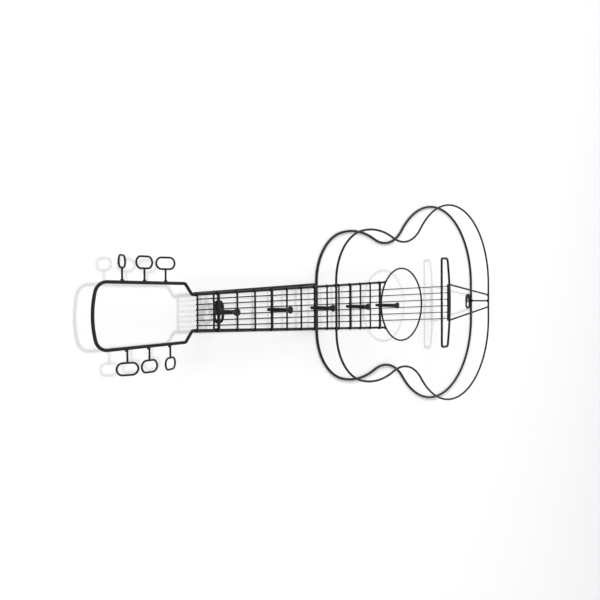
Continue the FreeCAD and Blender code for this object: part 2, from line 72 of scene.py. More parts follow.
def add_node(owner, kind, inputs, **settings):
    """Adds a node to a material or to the world. An input is a plain value, or the output
    socket that feeds it."""
    node = owner.node_tree.nodes.new(kind)
    for setting, value in settings.items():
        setattr(node, setting, value)
    for socket, value in inputs.items():
        if isinstance(value, bpy.types.NodeSocket):
            owner.node_tree.links.new(value, node.inputs[socket])
        else:
            node.inputs[socket].default_value = value
    return node


# The sockets of a colour mix, which repeats its socket names for every kind of data
FACTOR, COLOUR_A, COLOUR_B, MIXED = 0, 6, 7, 2
# How far it is from one thick patch of the coat to the next, and between patches of dust and
# painted top light
THICK_PATCH = 38 * MM
DUST_AND_TOP_LIGHT_PATCH = 7 * MM
# Dust, and a painted highlight where light falls on top, lie where more than this share of a face's
# normal points up, and they hide at most this much of the coat.
DUST_AND_TOP_LIGHT_SLOPE = 0.25
DUST_AND_TOP_LIGHT_COVER = 0.9
# Most of a noise lies between these two values.
NOISE_LOW, NOISE_HIGH = 0.3, 0.7
# The resin is a polyester, and the pigment in it dulls its gloss.
POLYESTER_IOR = 1.45
COAT_SPECULAR = 0.2


def powder_coat(name, dark, light, dust_and_top_light, satin, peel_mm, peel_height_mm):
    """Baked polyester powder on steel: an even satin black with the soft pebbled skin that is
    called orange peel. It is a shade lighter where it went on thicker. Whatever faces upwards is
    greyed, partly by fine dust and partly as a painted highlight where light falls on top. satin
    is the lowest and the highest roughness."""
    material = bpy.data.materials.new(name)
    material.use_nodes = True
    material.node_tree.nodes.clear()
    place = add_node(material, "ShaderNodeTexCoord", {}).outputs["Object"]

    thickness = add_node(
        material, "ShaderNodeTexNoise", {"Vector": place, "Scale": 1 / THICK_PATCH, "Detail": 3}
    )
    coat = add_node(
        material,
        "ShaderNodeMix",
        {FACTOR: thickness.outputs["Fac"], COLOUR_A: srgb(dark), COLOUR_B: srgb(light)},
        data_type="RGBA",
    )

    # Faces that point up are greyed: partly real dust, and partly a painted highlight of the light
    # from above.
    facing = add_node(material, "ShaderNodeNewGeometry", {}).outputs["Normal"]
    upwards = add_node(material, "ShaderNodeSeparateXYZ", {"Vector": facing}).outputs["Z"]
    dust_and_top_light_share = add_node(
        material,
        "ShaderNodeMapRange",
        {"Value": upwards, "From Min": DUST_AND_TOP_LIGHT_SLOPE, "From Max": 1.0, "To Max": DUST_AND_TOP_LIGHT_COVER},
    )
    patches = add_node(
        material, "ShaderNodeTexNoise", {"Vector": place, "Scale": 1 / DUST_AND_TOP_LIGHT_PATCH, "Detail": 4}
    )
    dusty_and_lit_top = add_node(
        material,
        "ShaderNodeMath",
        {0: dust_and_top_light_share.outputs["Result"], 1: patches.outputs["Fac"]},
        operation="MULTIPLY",
    )
    colour = add_node(
        material,
        "ShaderNodeMix",
        {FACTOR: dusty_and_lit_top.outputs[0], COLOUR_A: coat.outputs[MIXED], COLOUR_B: srgb(dust_and_top_light)},
        data_type="RGBA",
    )

    roughness = add_node(
        material,
        "ShaderNodeMapRange",
        {
            "Value": patches.outputs["Fac"],
            "From Min": NOISE_LOW,
            "From Max": NOISE_HIGH,
            "To Min": satin[0],
            "To Max": satin[1],
        },
    )
    peel = add_node(
        material,
        "ShaderNodeTexNoise",
        {"Vector": place, "Scale": 1 / (peel_mm * MM), "Detail": 2, "Roughness": 0.4},
    )
    skin = add_node(
        material,
        "ShaderNodeBump",
        {"Height": peel.outputs["Fac"], "Distance": peel_height_mm * MM},
        name="skin",
    )
    surface = add_node(
        material,
        "ShaderNodeBsdfPrincipled",
        {
            "Base Color": colour.outputs[MIXED],
            "Roughness": roughness.outputs["Result"],
            "IOR": POLYESTER_IOR,
            "Specular IOR Level": COAT_SPECULAR,
            "Normal": skin.outputs["Normal"],
        },
        name="surface",
    )
    add_node(material, "ShaderNodeOutputMaterial", {"Surface": surface.outputs["BSDF"]})
    return material


def finish_nodes(material, *names):
    """Gives pieces of the frame their finish, in every material slot that they have."""
    for name in names:
        for material_slot in nodes[name].material_slots:
            material_slot.material = material


# On the thicker wires the powder lies even, and its orange peel is about 1.2 mm from crest to
# crest. That gives soft, broken highlights along a wire.
wire_coat = powder_coat(
    "satin_black_powder_coat",
    dark="#0e0e0f",
    light="#161617",
    dust_and_top_light="#4c4c4b",
    satin=(0.34, 0.48),
    peel_mm=1.2,
    peel_height_mm=0.03,
)
finish_nodes(wire_coat, "body_front_outline", "body_back_outline", "tail_spacer")

# Weld metal flows a little way along both wires and sets as a low, uneven bead. One bead of
# unit size is modelled here and copied to every weld of the frame. Its surface is uneven, and
# a belt round its middle swells where the two wires meet.
UNEVEN = 0.09
BELT = 0.35
SWELL, SQUEEZE = 1.16, 0.8
bpy.ops.object.select_all(action="DESELECT")
bpy.ops.mesh.primitive_ico_sphere_add(subdivisions=2, radius=1)
bead = bpy.context.object
bead.name = "weld_bead_pattern"
bpy.ops.object.mode_set(mode="EDIT")
bpy.ops.mesh.select_all(action="SELECT")
bpy.ops.transform.vertex_random(offset=UNEVEN, normal=1.0, seed=11)
bpy.ops.object.mode_set(mode="OBJECT")
for vertex in bead.data.vertices:
    vertex.select = abs(vertex.co.y) < BELT
bpy.ops.object.mode_set(mode="EDIT")
bpy.ops.mesh.select_mode(type="VERT")
bpy.ops.transform.resize(value=(SWELL, SQUEEZE, SWELL))
bpy.ops.object.mode_set(mode="OBJECT")
bead.dimensions = (2, 2, 2)
bpy.ops.object.transform_apply(location=True, rotation=False, scale=True)
bpy.ops.object.shade_smooth()

# The coat draws back from sharp ripples and fills the hollows, so a bead looks lumpier than
# the wire and a touch glossier.
weld_coat = powder_coat(
    "powder_coat_over_weld",
    dark="#0d0d0e",
    light="#151516",
    dust_and_top_light="#494948",
    satin=(0.28, 0.4),
    peel_mm=0.9,
    peel_height_mm=0.08,
)


def lay_beads(name, spots):
    """Copies the bead to each spot, given with its reach along x, y and z, as one piece."""
    bpy.ops.object.select_all(action="DESELECT")
    for number, (spot, reach) in enumerate(spots):
        copy = bead.copy()
        copy.data = bead.data.copy()
        bpy.context.collection.objects.link(copy)
        # every second bead is turned half round, so that neighbours aren't the same lump
        turn = Matrix.Rotation(math.pi * (number % 2), 4, "Y")
        copy.matrix_world = Matrix.LocRotScale(spot, None, reach) @ turn
        copy.select_set(True)
        bpy.context.view_layer.objects.active = copy
    bpy.ops.object.transform_apply(location=True, rotation=True, scale=True)
    bpy.ops.object.join()
    beads = bpy.context.object
    beads.name = name
    beads.data.materials.append(weld_coat)
    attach(beads, "root")


# A wire's end is cut square, so all of its rim lies within this of the end of its box.
RIM_DEPTH = 0.6 * MM


def wire_line(name):
    """The centre line of a straight wire that runs along x: both ends and its radius."""
    rims = []
    for edge in (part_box(name)[0].x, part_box(name)[1].x):
        rim = [v.co for v in nodes[name].data.vertices if abs(v.co.x - edge) < RIM_DEPTH]
        low = Vector([min(point[axis] for point in rim) for axis in range(3)])
        high = Vector([max(point[axis] for point in rim) for axis in range(3)])
        rims.append((low + high) / 2)
    return rims[0], rims[1], (high.y - low.y) / 2


def at_station(line, x):
    """The point of a centre line at one station along the neck."""
    start, end, _ = line
    return start.lerp(end, (x - start.x) / (end.x - start.x))


def middle(name):
    """The middle of a piece's box."""
    low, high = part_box(name)
    return (low + high) / 2


axis_z = middle("soundhole_ring").z
front_low, front_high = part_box("body_front_outline")
back_low, back_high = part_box("body_back_outline")
front_radius = (front_high.y - front_low.y) / 2
back_radius = (back_high.y - back_low.y) / 2
spacer = middle("tail_spacer")
spacer_radius = (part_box("tail_spacer")[1].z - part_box("tail_spacer")[0].z) / 2

# The loops are closed in the middle of their flat neck end. There the weld is a shallow
# ring, dressed flush where the back outline lies against the wall. All of these are parts of
# a wire's radius, apart from the length.
WELD_RISE = 1.15
DRESSED = 0.99
BUTT_LENGTH = 2.6 * MM
# A fillet weld flares out where each end of the spacer stands on an outline.
FILLET = Vector((1.2 * spacer_radius, 2.8 * MM, 3.0 * MM))
front_neck_x = front_low.x + front_radius
back_neck_x = back_low.x + back_radius
lay_beads(
    "weld_beads_outlines",
    [
        (
            Vector((front_neck_x, middle("body_front_outline").y, axis_z)),
            Vector((front_radius * WELD_RISE, front_radius * WELD_RISE, BUTT_LENGTH)),
        ),
        (
            Vector((back_neck_x, middle("body_back_outline").y, axis_z)),
            Vector((back_radius * DRESSED, back_radius * DRESSED, BUTT_LENGTH)),
        ),
        (Vector((spacer.x, front_high.y, spacer.z)), FILLET),
        (Vector((spacer.x, back_low.y, spacer.z)), FILLET),
    ],
)

# --- Neck rails ------------------------------------------------------------------------------
# Two straight steel wires carry the neck in front, from the headstock to the soundhole. Two
# more start against them at the nut and slope back to the outline on the wall. All are
# welded on before coating.
RAILS = ("neck_rail_upper", "neck_rail_lower")
BACK_RAILS = ("back_rail_upper", "back_rail_lower")
finish_nodes(wire_coat, *RAILS, *BACK_RAILS)
# How far a weld between two wires spreads and how deep it is, as parts of a wire's radius
WELD_SPREAD = 1.5
WELD_DEPTH = 0.6


def weld_between(first, second, radius):
    """A weld in the groove between two wires, at a point of each centre line."""
    return (first + second) / 2, Vector((radius * WELD_SPREAD, radius, radius * WELD_SPREAD))


neck_lines = {name: wire_line(name) for name in RAILS + BACK_RAILS}
rail_radius = neck_lines["neck_rail_upper"][2]
nut_x = middle("nut_bar").x
# Near the nut a back rail is tacked into the groove behind its front rail.
groove_x = nut_x + 4 * MM
TACK = 0.7
rail_welds = []
for front_rail, back_rail in zip(RAILS, BACK_RAILS):
    front_point = at_station(neck_lines[front_rail], groove_x)
    back_point = at_station(neck_lines[back_rail], groove_x)
    rail_welds.append(weld_between(front_point, back_point, rail_radius * TACK))
    back_end = neck_lines[back_rail][1]
    on_outline = Vector((back_neck_x, back_end.y, back_end.z))
    reach = Vector((rail_radius, rail_radius * DRESSED, rail_radius * WELD_RISE))
    rail_welds.append(((back_end * 2 + on_outline) / 3, reach))
lay_beads("weld_beads_rails", rail_welds)

# --- Frets, peg bars and nut -----------------------------------------------------------------
# Thirteen steel wires cross the neck at gaps that shrink towards the soundhole, and every
# third is a thick one that carries a coat peg. They and the nut are resistance welded to the
# front of the rails, which leaves a small flash in the corners of each crossing.
FRETS = tuple(f"fret_{number}" for number in range(1, 9))
PEG_BARS = tuple(f"peg_bar_{number}" for number in range(1, 6))
CROSS_BARS = ("nut_bar", *FRETS, *PEG_BARS)
finish_nodes(wire_coat, *CROSS_BARS)


def weld_crossing(bar, line):
    """The flash where a wire along the neck touches the back of an upright bar."""
    low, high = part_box(bar)
    x = (low.x + high.x) / 2
    bar_radius = (high.x - low.x) / 2
    depth = min(bar_radius, line[2]) * WELD_DEPTH
    reach = Vector((bar_radius * WELD_SPREAD, depth, line[2] * WELD_SPREAD))
    return Vector((x, high.y, at_station(line, x).z)), reach


bar_welds = [weld_crossing(bar, neck_lines[rail]) for bar in CROSS_BARS for rail in RAILS]
lay_beads("weld_beads_bars", bar_welds)

# --- Soundhole ring --------------------------------------------------------------------------
# A thin steel wire rolled into a ring and closed by a butt weld at its lowest point. The
# ends of the neck rails are welded to its back.
finish_nodes(wire_coat, "soundhole_ring")
ring_low, ring_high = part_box("soundhole_ring")
ring = middle("soundhole_ring")
ring_wire = (ring_high.y - ring_low.y) / 2
ring_bend = (ring_high.x - ring_low.x) / 2 - ring_wire


def ring_station(height, side):
    """Where the ring's centre line is at a height above the axis, on one side of its middle."""
    return ring.x + side * math.sqrt(ring_bend**2 - (height - ring.z) ** 2)


ring_welds = [
    (
        Vector((ring.x, ring.y, ring.z - ring_bend)),
        Vector((BUTT_LENGTH, ring_wire * WELD_RISE, ring_wire * WELD_RISE)),
    )
]
flat = Vector((rail_radius * WELD_SPREAD, ring_wire * WELD_DEPTH, rail_radius * WELD_SPREAD))
for rail in RAILS:
    rail_end = neck_lines[rail][1]
    outline_z = at_station(neck_lines[rail], front_neck_x).z
    ring_welds.append((Vector((rail_end.x, ring_high.y, rail_end.z)), flat))
    ring_welds.append((Vector((front_neck_x, front_high.y, outline_z)), flat))
lay_beads("weld_beads_soundhole", ring_welds)

# --- Strings ---------------------------------------------------------------------------------
# Six straight steel wires of 1.5 mm behind the bars, from the nut to the bridge. Each is spot
# welded wherever it passes behind a bar, the outline or the ring.
STRINGS = tuple(f"string_{number}" for number in range(1, 7))
# Powder builds up less on thin wire, so the coat is smoother and a shade blacker.
string_coat = powder_coat(
    "thin_black_powder_coat",
    dark="#0d0d0e",
    light="#141415",
    dust_and_top_light="#444443",
    satin=(0.36, 0.5),
    peel_mm=0.8,
    peel_height_mm=0.015,
)
finish_nodes(string_coat, *STRINGS)

string_lines = [wire_line(name) for name in STRINGS]
string_welds = [weld_crossing(bar, line) for bar in CROSS_BARS for line in string_lines]
for line in string_lines:
    spot_reach = Vector((WELD_SPREAD, WELD_DEPTH, WELD_SPREAD)) * line[2]
    ring_sides = [ring_station(at_station(line, ring.x).z, side) for side in (-1, 1)]
    for x in (front_neck_x, *ring_sides):
        string_welds.append((Vector((x, ring_high.y, at_station(line, x).z)), spot_reach))
lay_beads("weld_beads_strings", string_welds)

# --- Bridge and tailpiece --------------------------------------------------------------------
# The bridge is a flat ring of wire, straight towards the soundhole and bowed towards the
# tail. A thicker bar beside the bow takes the ends of the strings, and two wires run from
# the bow to the tail of the outline. All are steel wire, welded and coated with the frame.
TAIL_WIRES = ("tailpiece_wire_upper", "tailpiece_wire_lower")
finish_nodes(wire_coat, "string_anchor_bar")
# Points of a run that are nearer to each other than this are one point.
SAME_POINT = 0.1 * MM


def start_wire(name, place):
    """A new wire, as a single point to draw its run from in edit mode."""
    bpy.ops.object.select_all(action="DESELECT")
    bpy.ops.mesh.primitive_plane_add(size=MM, location=place)
    bpy.context.object.name = name
    bpy.ops.object.transform_apply(location=True, rotation=False, scale=False)
    bpy.ops.object.mode_set(mode="EDIT")
    bpy.ops.mesh.merge(type="CENTER")
    return bpy.context.object


def round_corners(wire, corners, bend):
    """Rounds the corners of a run where the wire is bent."""
    bpy.ops.mesh.select_all(action="DESELECT")
    bpy.ops.mesh.select_mode(type="VERT")
    bpy.ops.object.mode_set(mode="OBJECT")
    for vertex in wire.data.vertices:
        vertex.select = any((vertex.co - corner).length < SAME_POINT for corner in corners)
    bpy.ops.object.mode_set(mode="EDIT")
    bpy.ops.mesh.bevel(offset=bend, segments=8, affect="VERTICES")


def finish_wire(wire, radius, replaced):
    """Gives a run its thickness and its coat, and puts it in place of a piece of the frame."""
    bpy.ops.object.mode_set(mode="OBJECT")
    bpy.ops.object.convert(target="CURVE")
    wire.data.bevel_depth = radius
    wire.data.bevel_resolution = 6
    wire.data.use_fill_caps = True
    bpy.ops.object.convert(target="MESH")
    bpy.ops.object.shade_smooth()
    wire.data.materials.clear()
    wire.data.materials.append(wire_coat)
    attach(wire, "root")
    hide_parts(replaced)


# The real bridge is taller and its bow flatter than those of the CAD piece, which this one
# stands for. The bow passes where the wires to the tail start. The height is measured
# between the middles of the wire.
BRIDGE_HEIGHT = 165 * MM
BRIDGE_WIRE_RADIUS = 2.1 * MM
BRIDGE_CORNER = 4 * MM
BOW_BEND = 413 * MM
BOW_STEPS = 24
bridge_low, bridge_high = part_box("bridge_frame")
bridge_side_x = bridge_low.x + (bridge_high.y - bridge_low.y) / 2
bridge_y = bridge_high.y - BRIDGE_WIRE_RADIUS
tail_wire_start = wire_line(TAIL_WIRES[0])[0]
bow_centre_x = (
    tail_wire_start.x
    - BRIDGE_WIRE_RADIUS
    - math.sqrt(BOW_BEND**2 - (tail_wire_start.z - axis_z) ** 2)
)
bow_end_x = bow_centre_x + math.sqrt(BOW_BEND**2 - (BRIDGE_HEIGHT / 2) ** 2)
bridge_foot = Vector((bow_end_x, bridge_y, axis_z - BRIDGE_HEIGHT / 2))
bridge = start_wire("bridge_wire_ring", bridge_foot)
bpy.ops.mesh.spin(
    steps=BOW_STEPS,
    angle=2 * math.asin(BRIDGE_HEIGHT / 2 / BOW_BEND),
    center=(bow_centre_x, bridge_y, axis_z),
    axis=(0, 1, 0),
)
along = Vector((bow_end_x - bridge_side_x, 0, 0))
down = Vector((0, 0, -BRIDGE_HEIGHT))
for run in (-along, down, along):
    bpy.ops.mesh.extrude_region_move(TRANSFORM_OT_translate={"value": run})
bpy.ops.mesh.select_all(action="SELECT")
bpy.ops.mesh.remove_doubles(threshold=SAME_POINT)
bow_ends = (bridge_foot, bridge_foot - down)
bridge_corners = (*bow_ends, *(bow_end - along for bow_end in bow_ends))
round_corners(bridge, bridge_corners, BRIDGE_CORNER)
finish_wire(bridge, BRIDGE_WIRE_RADIUS, "bridge_frame")

# The two wires to the tail are thicker than the CAD pieces as well. Each is bent just before
# its end: the upper one turns down along the outline, and the lower one levels out.
TAIL_WIRE_RADIUS = 1.7 * MM
TAIL_WIRE_BEND = 1.2 * MM
TOE_FROM_END = 2.2 * MM
UPPER_TOE = Vector((0.8, 0, -2.6)) * MM
LOWER_TOE = Vector((2.0, 0, 0.2)) * MM
for name, toe in zip(TAIL_WIRES, (UPPER_TOE, LOWER_TOE)):
    start, end, _ = wire_line(name)
    toe_start = at_station((start, end, 0), end.x - TOE_FROM_END)
    tail_wire = start_wire(name + "_bent", start)
    for run in (toe_start - start, toe):
        bpy.ops.mesh.extrude_region_move(TRANSFORM_OT_translate={"value": run})
    round_corners(tail_wire, (toe_start,), TAIL_WIRE_BEND)
    finish_wire(tail_wire, TAIL_WIRE_RADIUS, name)

anchor_low, anchor_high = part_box("string_anchor_bar")
anchor = middle("string_anchor_bar")
anchor_radius = (anchor_high.x - anchor_low.x) / 2
bridge_welds = [
    (
        Vector((bridge_side_x, bridge_y, axis_z)),
        Vector((BRIDGE_WIRE_RADIUS * WELD_RISE, BRIDGE_WIRE_RADIUS * WELD_RISE, BUTT_LENGTH)),
    )
]
for line in string_lines:
    crossing = Vector((bridge_side_x, bridge_high.y, at_station(line, bridge_side_x).z))
    reach = Vector((BRIDGE_WIRE_RADIUS, line[2] * WELD_DEPTH, line[2])) * WELD_SPREAD
    bridge_welds.append((crossing, reach))
    bridge_welds.append(weld_crossing("string_anchor_bar", line))
# Both ends of the anchor bar are tacked to the bow beside them.
ANCHOR_TACK = Vector((0.5, WELD_DEPTH, 1)) * anchor_radius
for z in (anchor_low.z, anchor_high.z):
    inwards = math.copysign(anchor_radius, axis_z - z)
    beside_bow = Vector((anchor_high.x, anchor.y, z + inwards))
    bridge_welds.append((beside_bow, ANCHOR_TACK))
# A bead sits round each end of a tail wire, a little way into the wire that it meets.
TIP_WELD = Vector((1, WELD_SPREAD, WELD_SPREAD)) * TAIL_WIRE_RADIUS
PAST_TIP = Vector((0.4 * TAIL_WIRE_RADIUS, 0, 0))
for name in TAIL_WIRES:
    start, end, _ = wire_line(name)
    bridge_welds.append((start - PAST_TIP, TIP_WELD))
    bridge_welds.append((end + PAST_TIP, TIP_WELD))
lay_beads("weld_beads_bridge", bridge_welds)

# --- Headstock and tuning keys ---------------------------------------------------------------
# One steel wire bent to the outline of a headstock, butt welded to the neck rails at the
# nut. The six tuning keys are oval loops of thinner wire on short stems, welded on by hand,
# so each is twisted a little differently.
KEYS = tuple(f"tuner_key_{number}" for number in range(1, 7))
finish_nodes(wire_coat, "headstock_frame", *KEYS)

head_low, head_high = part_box("headstock_frame")
head_radius = (head_high.y - head_low.y) / 2
head_rise = head_radius * WELD_RISE
head_welds = []
for rail in RAILS:
    joint = Vector((nut_x, middle("headstock_frame").y, neck_lines[rail][0].z))
    head_welds.append((joint, Vector((BUTT_LENGTH, head_rise, head_rise))))
KEY_RADIUS = 1.2 * MM
# From the outer edge of a key's loop to the bead that joins the loop to its stem
LOOP_DEPTH = 14.9 * MM + 0.6 * KEY_RADIUS
# A stem stands in a collar of weld on the headstock, and a smaller bead holds the loop on it.
STEM_COLLAR = Vector((2.0, 1.5, 1.9)) * KEY_RADIUS
LOOP_WELD = Vector((1.4, 1.2, 1.0)) * KEY_RADIUS
# The collars of the lower keys sit a little further from the nut than the stems.
COLLAR_LEAN = 0.9 * MM
for name in KEYS:
    low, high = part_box(name)
    centre = middle(name)
    if low.z > axis_z:
        collar_at = Vector((centre.x, centre.y, low.z))
        loop_at = Vector((centre.x, centre.y, high.z - LOOP_DEPTH))
    else:
        collar_at = Vector((centre.x - COLLAR_LEAN, centre.y, high.z))
        loop_at = Vector((centre.x, centre.y, low.z + LOOP_DEPTH))
    head_welds.append((collar_at, STEM_COLLAR))
    head_welds.append((loop_at, LOOP_WELD))
lay_beads("weld_beads_headstock", head_welds)

# --- Coat pegs -------------------------------------------------------------------------------
# Five pegs turned from steel rod on a lathe, each with a flared, domed knob. A bar of the
# neck passes through a hole drilled near the rear end and is welded in it.
PEGS = tuple(f"coat_peg_{number}" for number in range(1, 6))
# Lathe marks soften to faint rings under the coat, and clothes polish it. The real marks are
# 0.2 mm apart, too fine to show, so they are drawn about 1.8 mm apart.
LATHE_RING = 1.7765 * MM
RING_HEIGHT = 0.01 * MM
# The bands of a wave texture of scale 1 are this far apart.
WAVE_BAND = math.pi / 10
peg_coat = powder_coat(
    "satin_black_coat_on_turned_steel",
    dark="#121213",
    light="#1b1b1c",
    dust_and_top_light="#525251",
    satin=(0.24, 0.34),
    peel_mm=1.6,
    peel_height_mm=0.012,
)
peg_place = add_node(peg_coat, "ShaderNodeTexCoord", {}).outputs["Object"]
lathe_rings = add_node(
    peg_coat,
    "ShaderNodeTexWave",
    {"Vector": peg_place, "Scale": WAVE_BAND / LATHE_RING, "Distortion": 0.6, "Detail": 1},
    bands_direction="Y",
)
peg_nodes = peg_coat.node_tree.nodes
ringed = add_node(
    peg_coat,
    "ShaderNodeBump",
    {
        "Height": lathe_rings.outputs["Fac"],
        "Distance": RING_HEIGHT,
        "Normal": peg_nodes["skin"].outputs["Normal"],
    },
)
peg_coat.node_tree.links.new(ringed.outputs["Normal"], peg_nodes["surface"].inputs["Normal"])
finish_nodes(peg_coat, *PEGS)

# A low ring of weld closes the hole round the bar, on both sides of the shank. Its reach is
# given in radii of the bar.
SHANK_RADIUS = 2.8 * MM
HOLE_WELD = Vector((1.22, 1.22, 0.5))
peg_welds = []
for bar in PEG_BARS:
    low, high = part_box(bar)
    centre = middle(bar)
    for side in (-SHANK_RADIUS, SHANK_RADIUS):
        hole_edge = Vector((centre.x, centre.y, axis_z + side))
        peg_welds.append((hole_edge, HOLE_WELD * (high.x - low.x) / 2))
lay_beads("weld_beads_pegs", peg_welds)

# --- Keyhole plates and hanger ---------------------------------------------------------------
# Two oval plates blanked from sheet steel with a keyhole punched through, to hook over
# screws in the wall. The one at the tail is welded to the back outline, and the one at the
# neck to a thin bar and two bent arms behind the back rails.
PLATES = ("tail_keyhole_plate", "neck_keyhole_plate")
ARMS = ("hanger_arm_upper", "hanger_arm_lower")
finish_nodes(wire_coat, "hanger_bar", *ARMS)

hanger_welds = []
neck_plate_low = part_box("neck_keyhole_plate")[0]
hanger_low, hanger_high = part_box("hanger_bar")
hanger = middle("hanger_bar")
hanger_radius = (hanger_high.x - hanger_low.x) / 2
for rail in BACK_RAILS:
    on_rail = at_station(neck_lines[rail], hanger.x)
    on_bar = Vector((hanger.x, hanger.y, on_rail.z))
    hanger_welds.append(weld_between(on_rail, on_bar, hanger_radius))
# An arm lies along its rail with one end and stands on the plate with the other. The weld on
# the rail is this far from the arm's tip.
LAP_FROM_TIP = 3.5 * MM
ARM_FOOT_WELD = Vector((WELD_SPREAD, WELD_DEPTH, 1)) * hanger_radius
for name, rail in zip(ARMS, BACK_RAILS):
    low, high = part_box(name)
    side = 1 if low.z > axis_z else -1
    foot_z, far_z = (low.z, high.z) if side > 0 else (high.z, low.z)
    beside_rail = Vector((low.x + LAP_FROM_TIP, hanger.y, far_z - side * hanger_radius))
    on_rail = at_station(neck_lines[rail], beside_rail.x)
    hanger_welds.append(weld_between(on_rail, beside_rail, hanger_radius))
    foot = Vector((high.x - hanger_radius, neck_plate_low.y, foot_z + side * hanger_radius))
    hanger_welds.append((foot, ARM_FOOT_WELD))
# Two short runs of weld hold an edge of each plate, one above the axis and one below it. They
# fill the corner beside the wire that it lies against: the hanger bar at the neck, and the
# back outline at the tail.
RUN_FROM_AXIS = 6 * MM
NECK_EDGE = Vector((neck_plate_low.x, hanger_high.y - 0.2 * MM, axis_z))
NECK_RUN = Vector((hanger_radius, hanger_radius * WELD_DEPTH, 3 * MM))
TAIL_EDGE = Vector((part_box("tail_keyhole_plate")[1].x, -2.1 * MM, axis_z))
TAIL_RUN = Vector((1.4, 1.0, 3.4)) * MM
for side in (-RUN_FROM_AXIS, RUN_FROM_AXIS):
    hanger_welds.append((NECK_EDGE + Vector((0, 0, side)), NECK_RUN))
    hanger_welds.append((TAIL_EDGE + Vector((0, 0, side)), TAIL_RUN))
lay_beads("weld_beads_hanger", hanger_welds)

# The screw rubs the coat off along the slot that it slides up, down to dull grey steel. It
# leaves ragged bare patches close to the slot, and none beyond 4 mm from its middle.
SLOT_RISE = 11 * MM
RUBBED_FROM, RUBBED_TO = 4.0 * MM, 2.4 * MM
CHIP_SIZE = 1.5 * MM
CHIP_FROM, CHIP_TO = 0.4, 0.46
BARE_STEEL = "#58595a"


def rub_by_keyhole(material, hole_x):
    """Wears the coat away near the line that runs up the slot from the round hole."""
    place = add_node(material, "ShaderNodeTexCoord", {}).outputs["Object"]
    across = add_node(material, "ShaderNodeMapping", {"Vector": place, "Location": (-hole_x, 0, 0)})
    part = add_node(material, "ShaderNodeSeparateXYZ", {"Vector": across.outputs["Vector"]})
    along_slot = add_node(
        material,
        "ShaderNodeMapRange",
        {"Value": part.outputs["Z"], "From Max": SLOT_RISE, "To Max": SLOT_RISE},
    )
    past_slot = add_node(
        material,
        "ShaderNodeMath",
        {0: part.outputs["Z"], 1: along_slot.outputs["Result"]},
        operation="SUBTRACT",
    )
    offset = add_node(
        material, "ShaderNodeCombineXYZ", {"X": part.outputs["X"], "Z": past_slot.outputs[0]}
    )
    away = add_node(
        material, "ShaderNodeVectorMath", {0: offset.outputs["Vector"]}, operation="LENGTH"
    )
    near = add_node(
        material,
        "ShaderNodeMapRange",
        {"Value": away.outputs["Value"], "From Min": RUBBED_FROM, "From Max": RUBBED_TO},
    )
    ragged = add_node(
        material, "ShaderNodeTexNoise", {"Vector": place, "Scale": 1 / CHIP_SIZE, "Detail": 5}
    )
    bared = add_node(
        material,
        "ShaderNodeMath",
        {0: near.outputs["Result"], 1: ragged.outputs["Fac"]},
        operation="MULTIPLY",
    )
    steel = add_node(
        material,
        "ShaderNodeMapRange",
        {"Value": bared.outputs[0], "From Min": CHIP_FROM, "From Max": CHIP_TO},
    )
    surface = material.node_tree.nodes["surface"]
    coat_colour = surface.inputs["Base Color"].links[0].from_socket
    colour = add_node(
        material,
        "ShaderNodeMix",
        {FACTOR: steel.outputs["Result"], COLOUR_A: coat_colour, COLOUR_B: srgb(BARE_STEEL)},
        data_type="RGBA",
    )
    material.node_tree.links.new(colour.outputs[MIXED], surface.inputs["Base Color"])
    material.node_tree.links.new(steel.outputs["Result"], surface.inputs["Metallic"])


# Flat sheet takes a slightly thicker coat than wire, with a broader orange peel.
for name in PLATES:
    plate_coat = powder_coat(
        f"powder_coat_on_{name}",
        dark="#0f0f10",
        light="#171718",
        dust_and_top_light="#4c4c4b",
        satin=(0.34, 0.46),
        peel_mm=1.4,
        peel_height_mm=0.03,
    )
    rub_by_keyhole(plate_coat, middle(name).x)
    finish_nodes(plate_coat, name)

bpy.data.objects.remove(bead)

# --- Room ------------------------------------------------------------------------------------
# A plain white wall that the rack hangs on, turning into a pale floor well below it. It is
# only a backdrop. Seen from behind it isn't there, so that the back can be looked at.
WALL_GAP = 0.5 * MM
WALL_WIDTH = 7.0
WALL_TOP = 2.2
FLOOR_DEPTH = 4.5
FLOOR_Z = -1.3
COVE = 0.35
bpy.ops.object.select_all(action="DESELECT")
bpy.ops.mesh.primitive_plane_add(size=1, location=(ring.x, WALL_GAP, 0))
room = bpy.context.object
room.name = "wall_and_floor"
room.rotation_euler.x = math.radians(90)
room.scale = (WALL_WIDTH, WALL_TOP - FLOOR_Z, 1)
room.location.z = (WALL_TOP + FLOOR_Z) / 2
bpy.ops.object.transform_apply(location=True, rotation=True, scale=True)


def select_edges(test):
    """Selects the room's edges whose ends both pass a test, and nothing else."""
    for face in room.data.polygons:
        face.select = False
    for vertex in room.data.vertices:
        vertex.select = test(vertex.co)
    for edge in room.data.edges:
        edge.select = all(room.data.vertices[end].select for end in edge.vertices)


def at_foot(point):
    """Whether a point is as low as the floor."""
    return point.z < FLOOR_Z + WALL_GAP


def at_cove(point):
    """Whether a point is where the wall meets the floor."""
    return at_foot(point) and abs(point.y - WALL_GAP) < WALL_GAP


select_edges(at_foot)
bpy.ops.object.mode_set(mode="EDIT")
bpy.ops.mesh.select_mode(type="EDGE")
bpy.ops.mesh.extrude_region_move(TRANSFORM_OT_translate={"value": (0, -FLOOR_DEPTH, 0)})
bpy.ops.object.mode_set(mode="OBJECT")
select_edges(at_cove)
bpy.ops.object.mode_set(mode="EDIT")
bpy.ops.mesh.bevel(offset=COVE, segments=16, affect="EDGES")
bpy.ops.object.mode_set(mode="OBJECT")
bpy.ops.object.shade_smooth()

# Matt emulsion paint has no gloss that shows, so it is a diffuse surface alone.
wall_paint = bpy.data.materials.new("white_wall_paint")
wall_paint.use_nodes = True
wall_paint.node_tree.nodes.clear()
paint = add_node(wall_paint, "ShaderNodeBsdfDiffuse", {"Color": srgb("#ececec")})
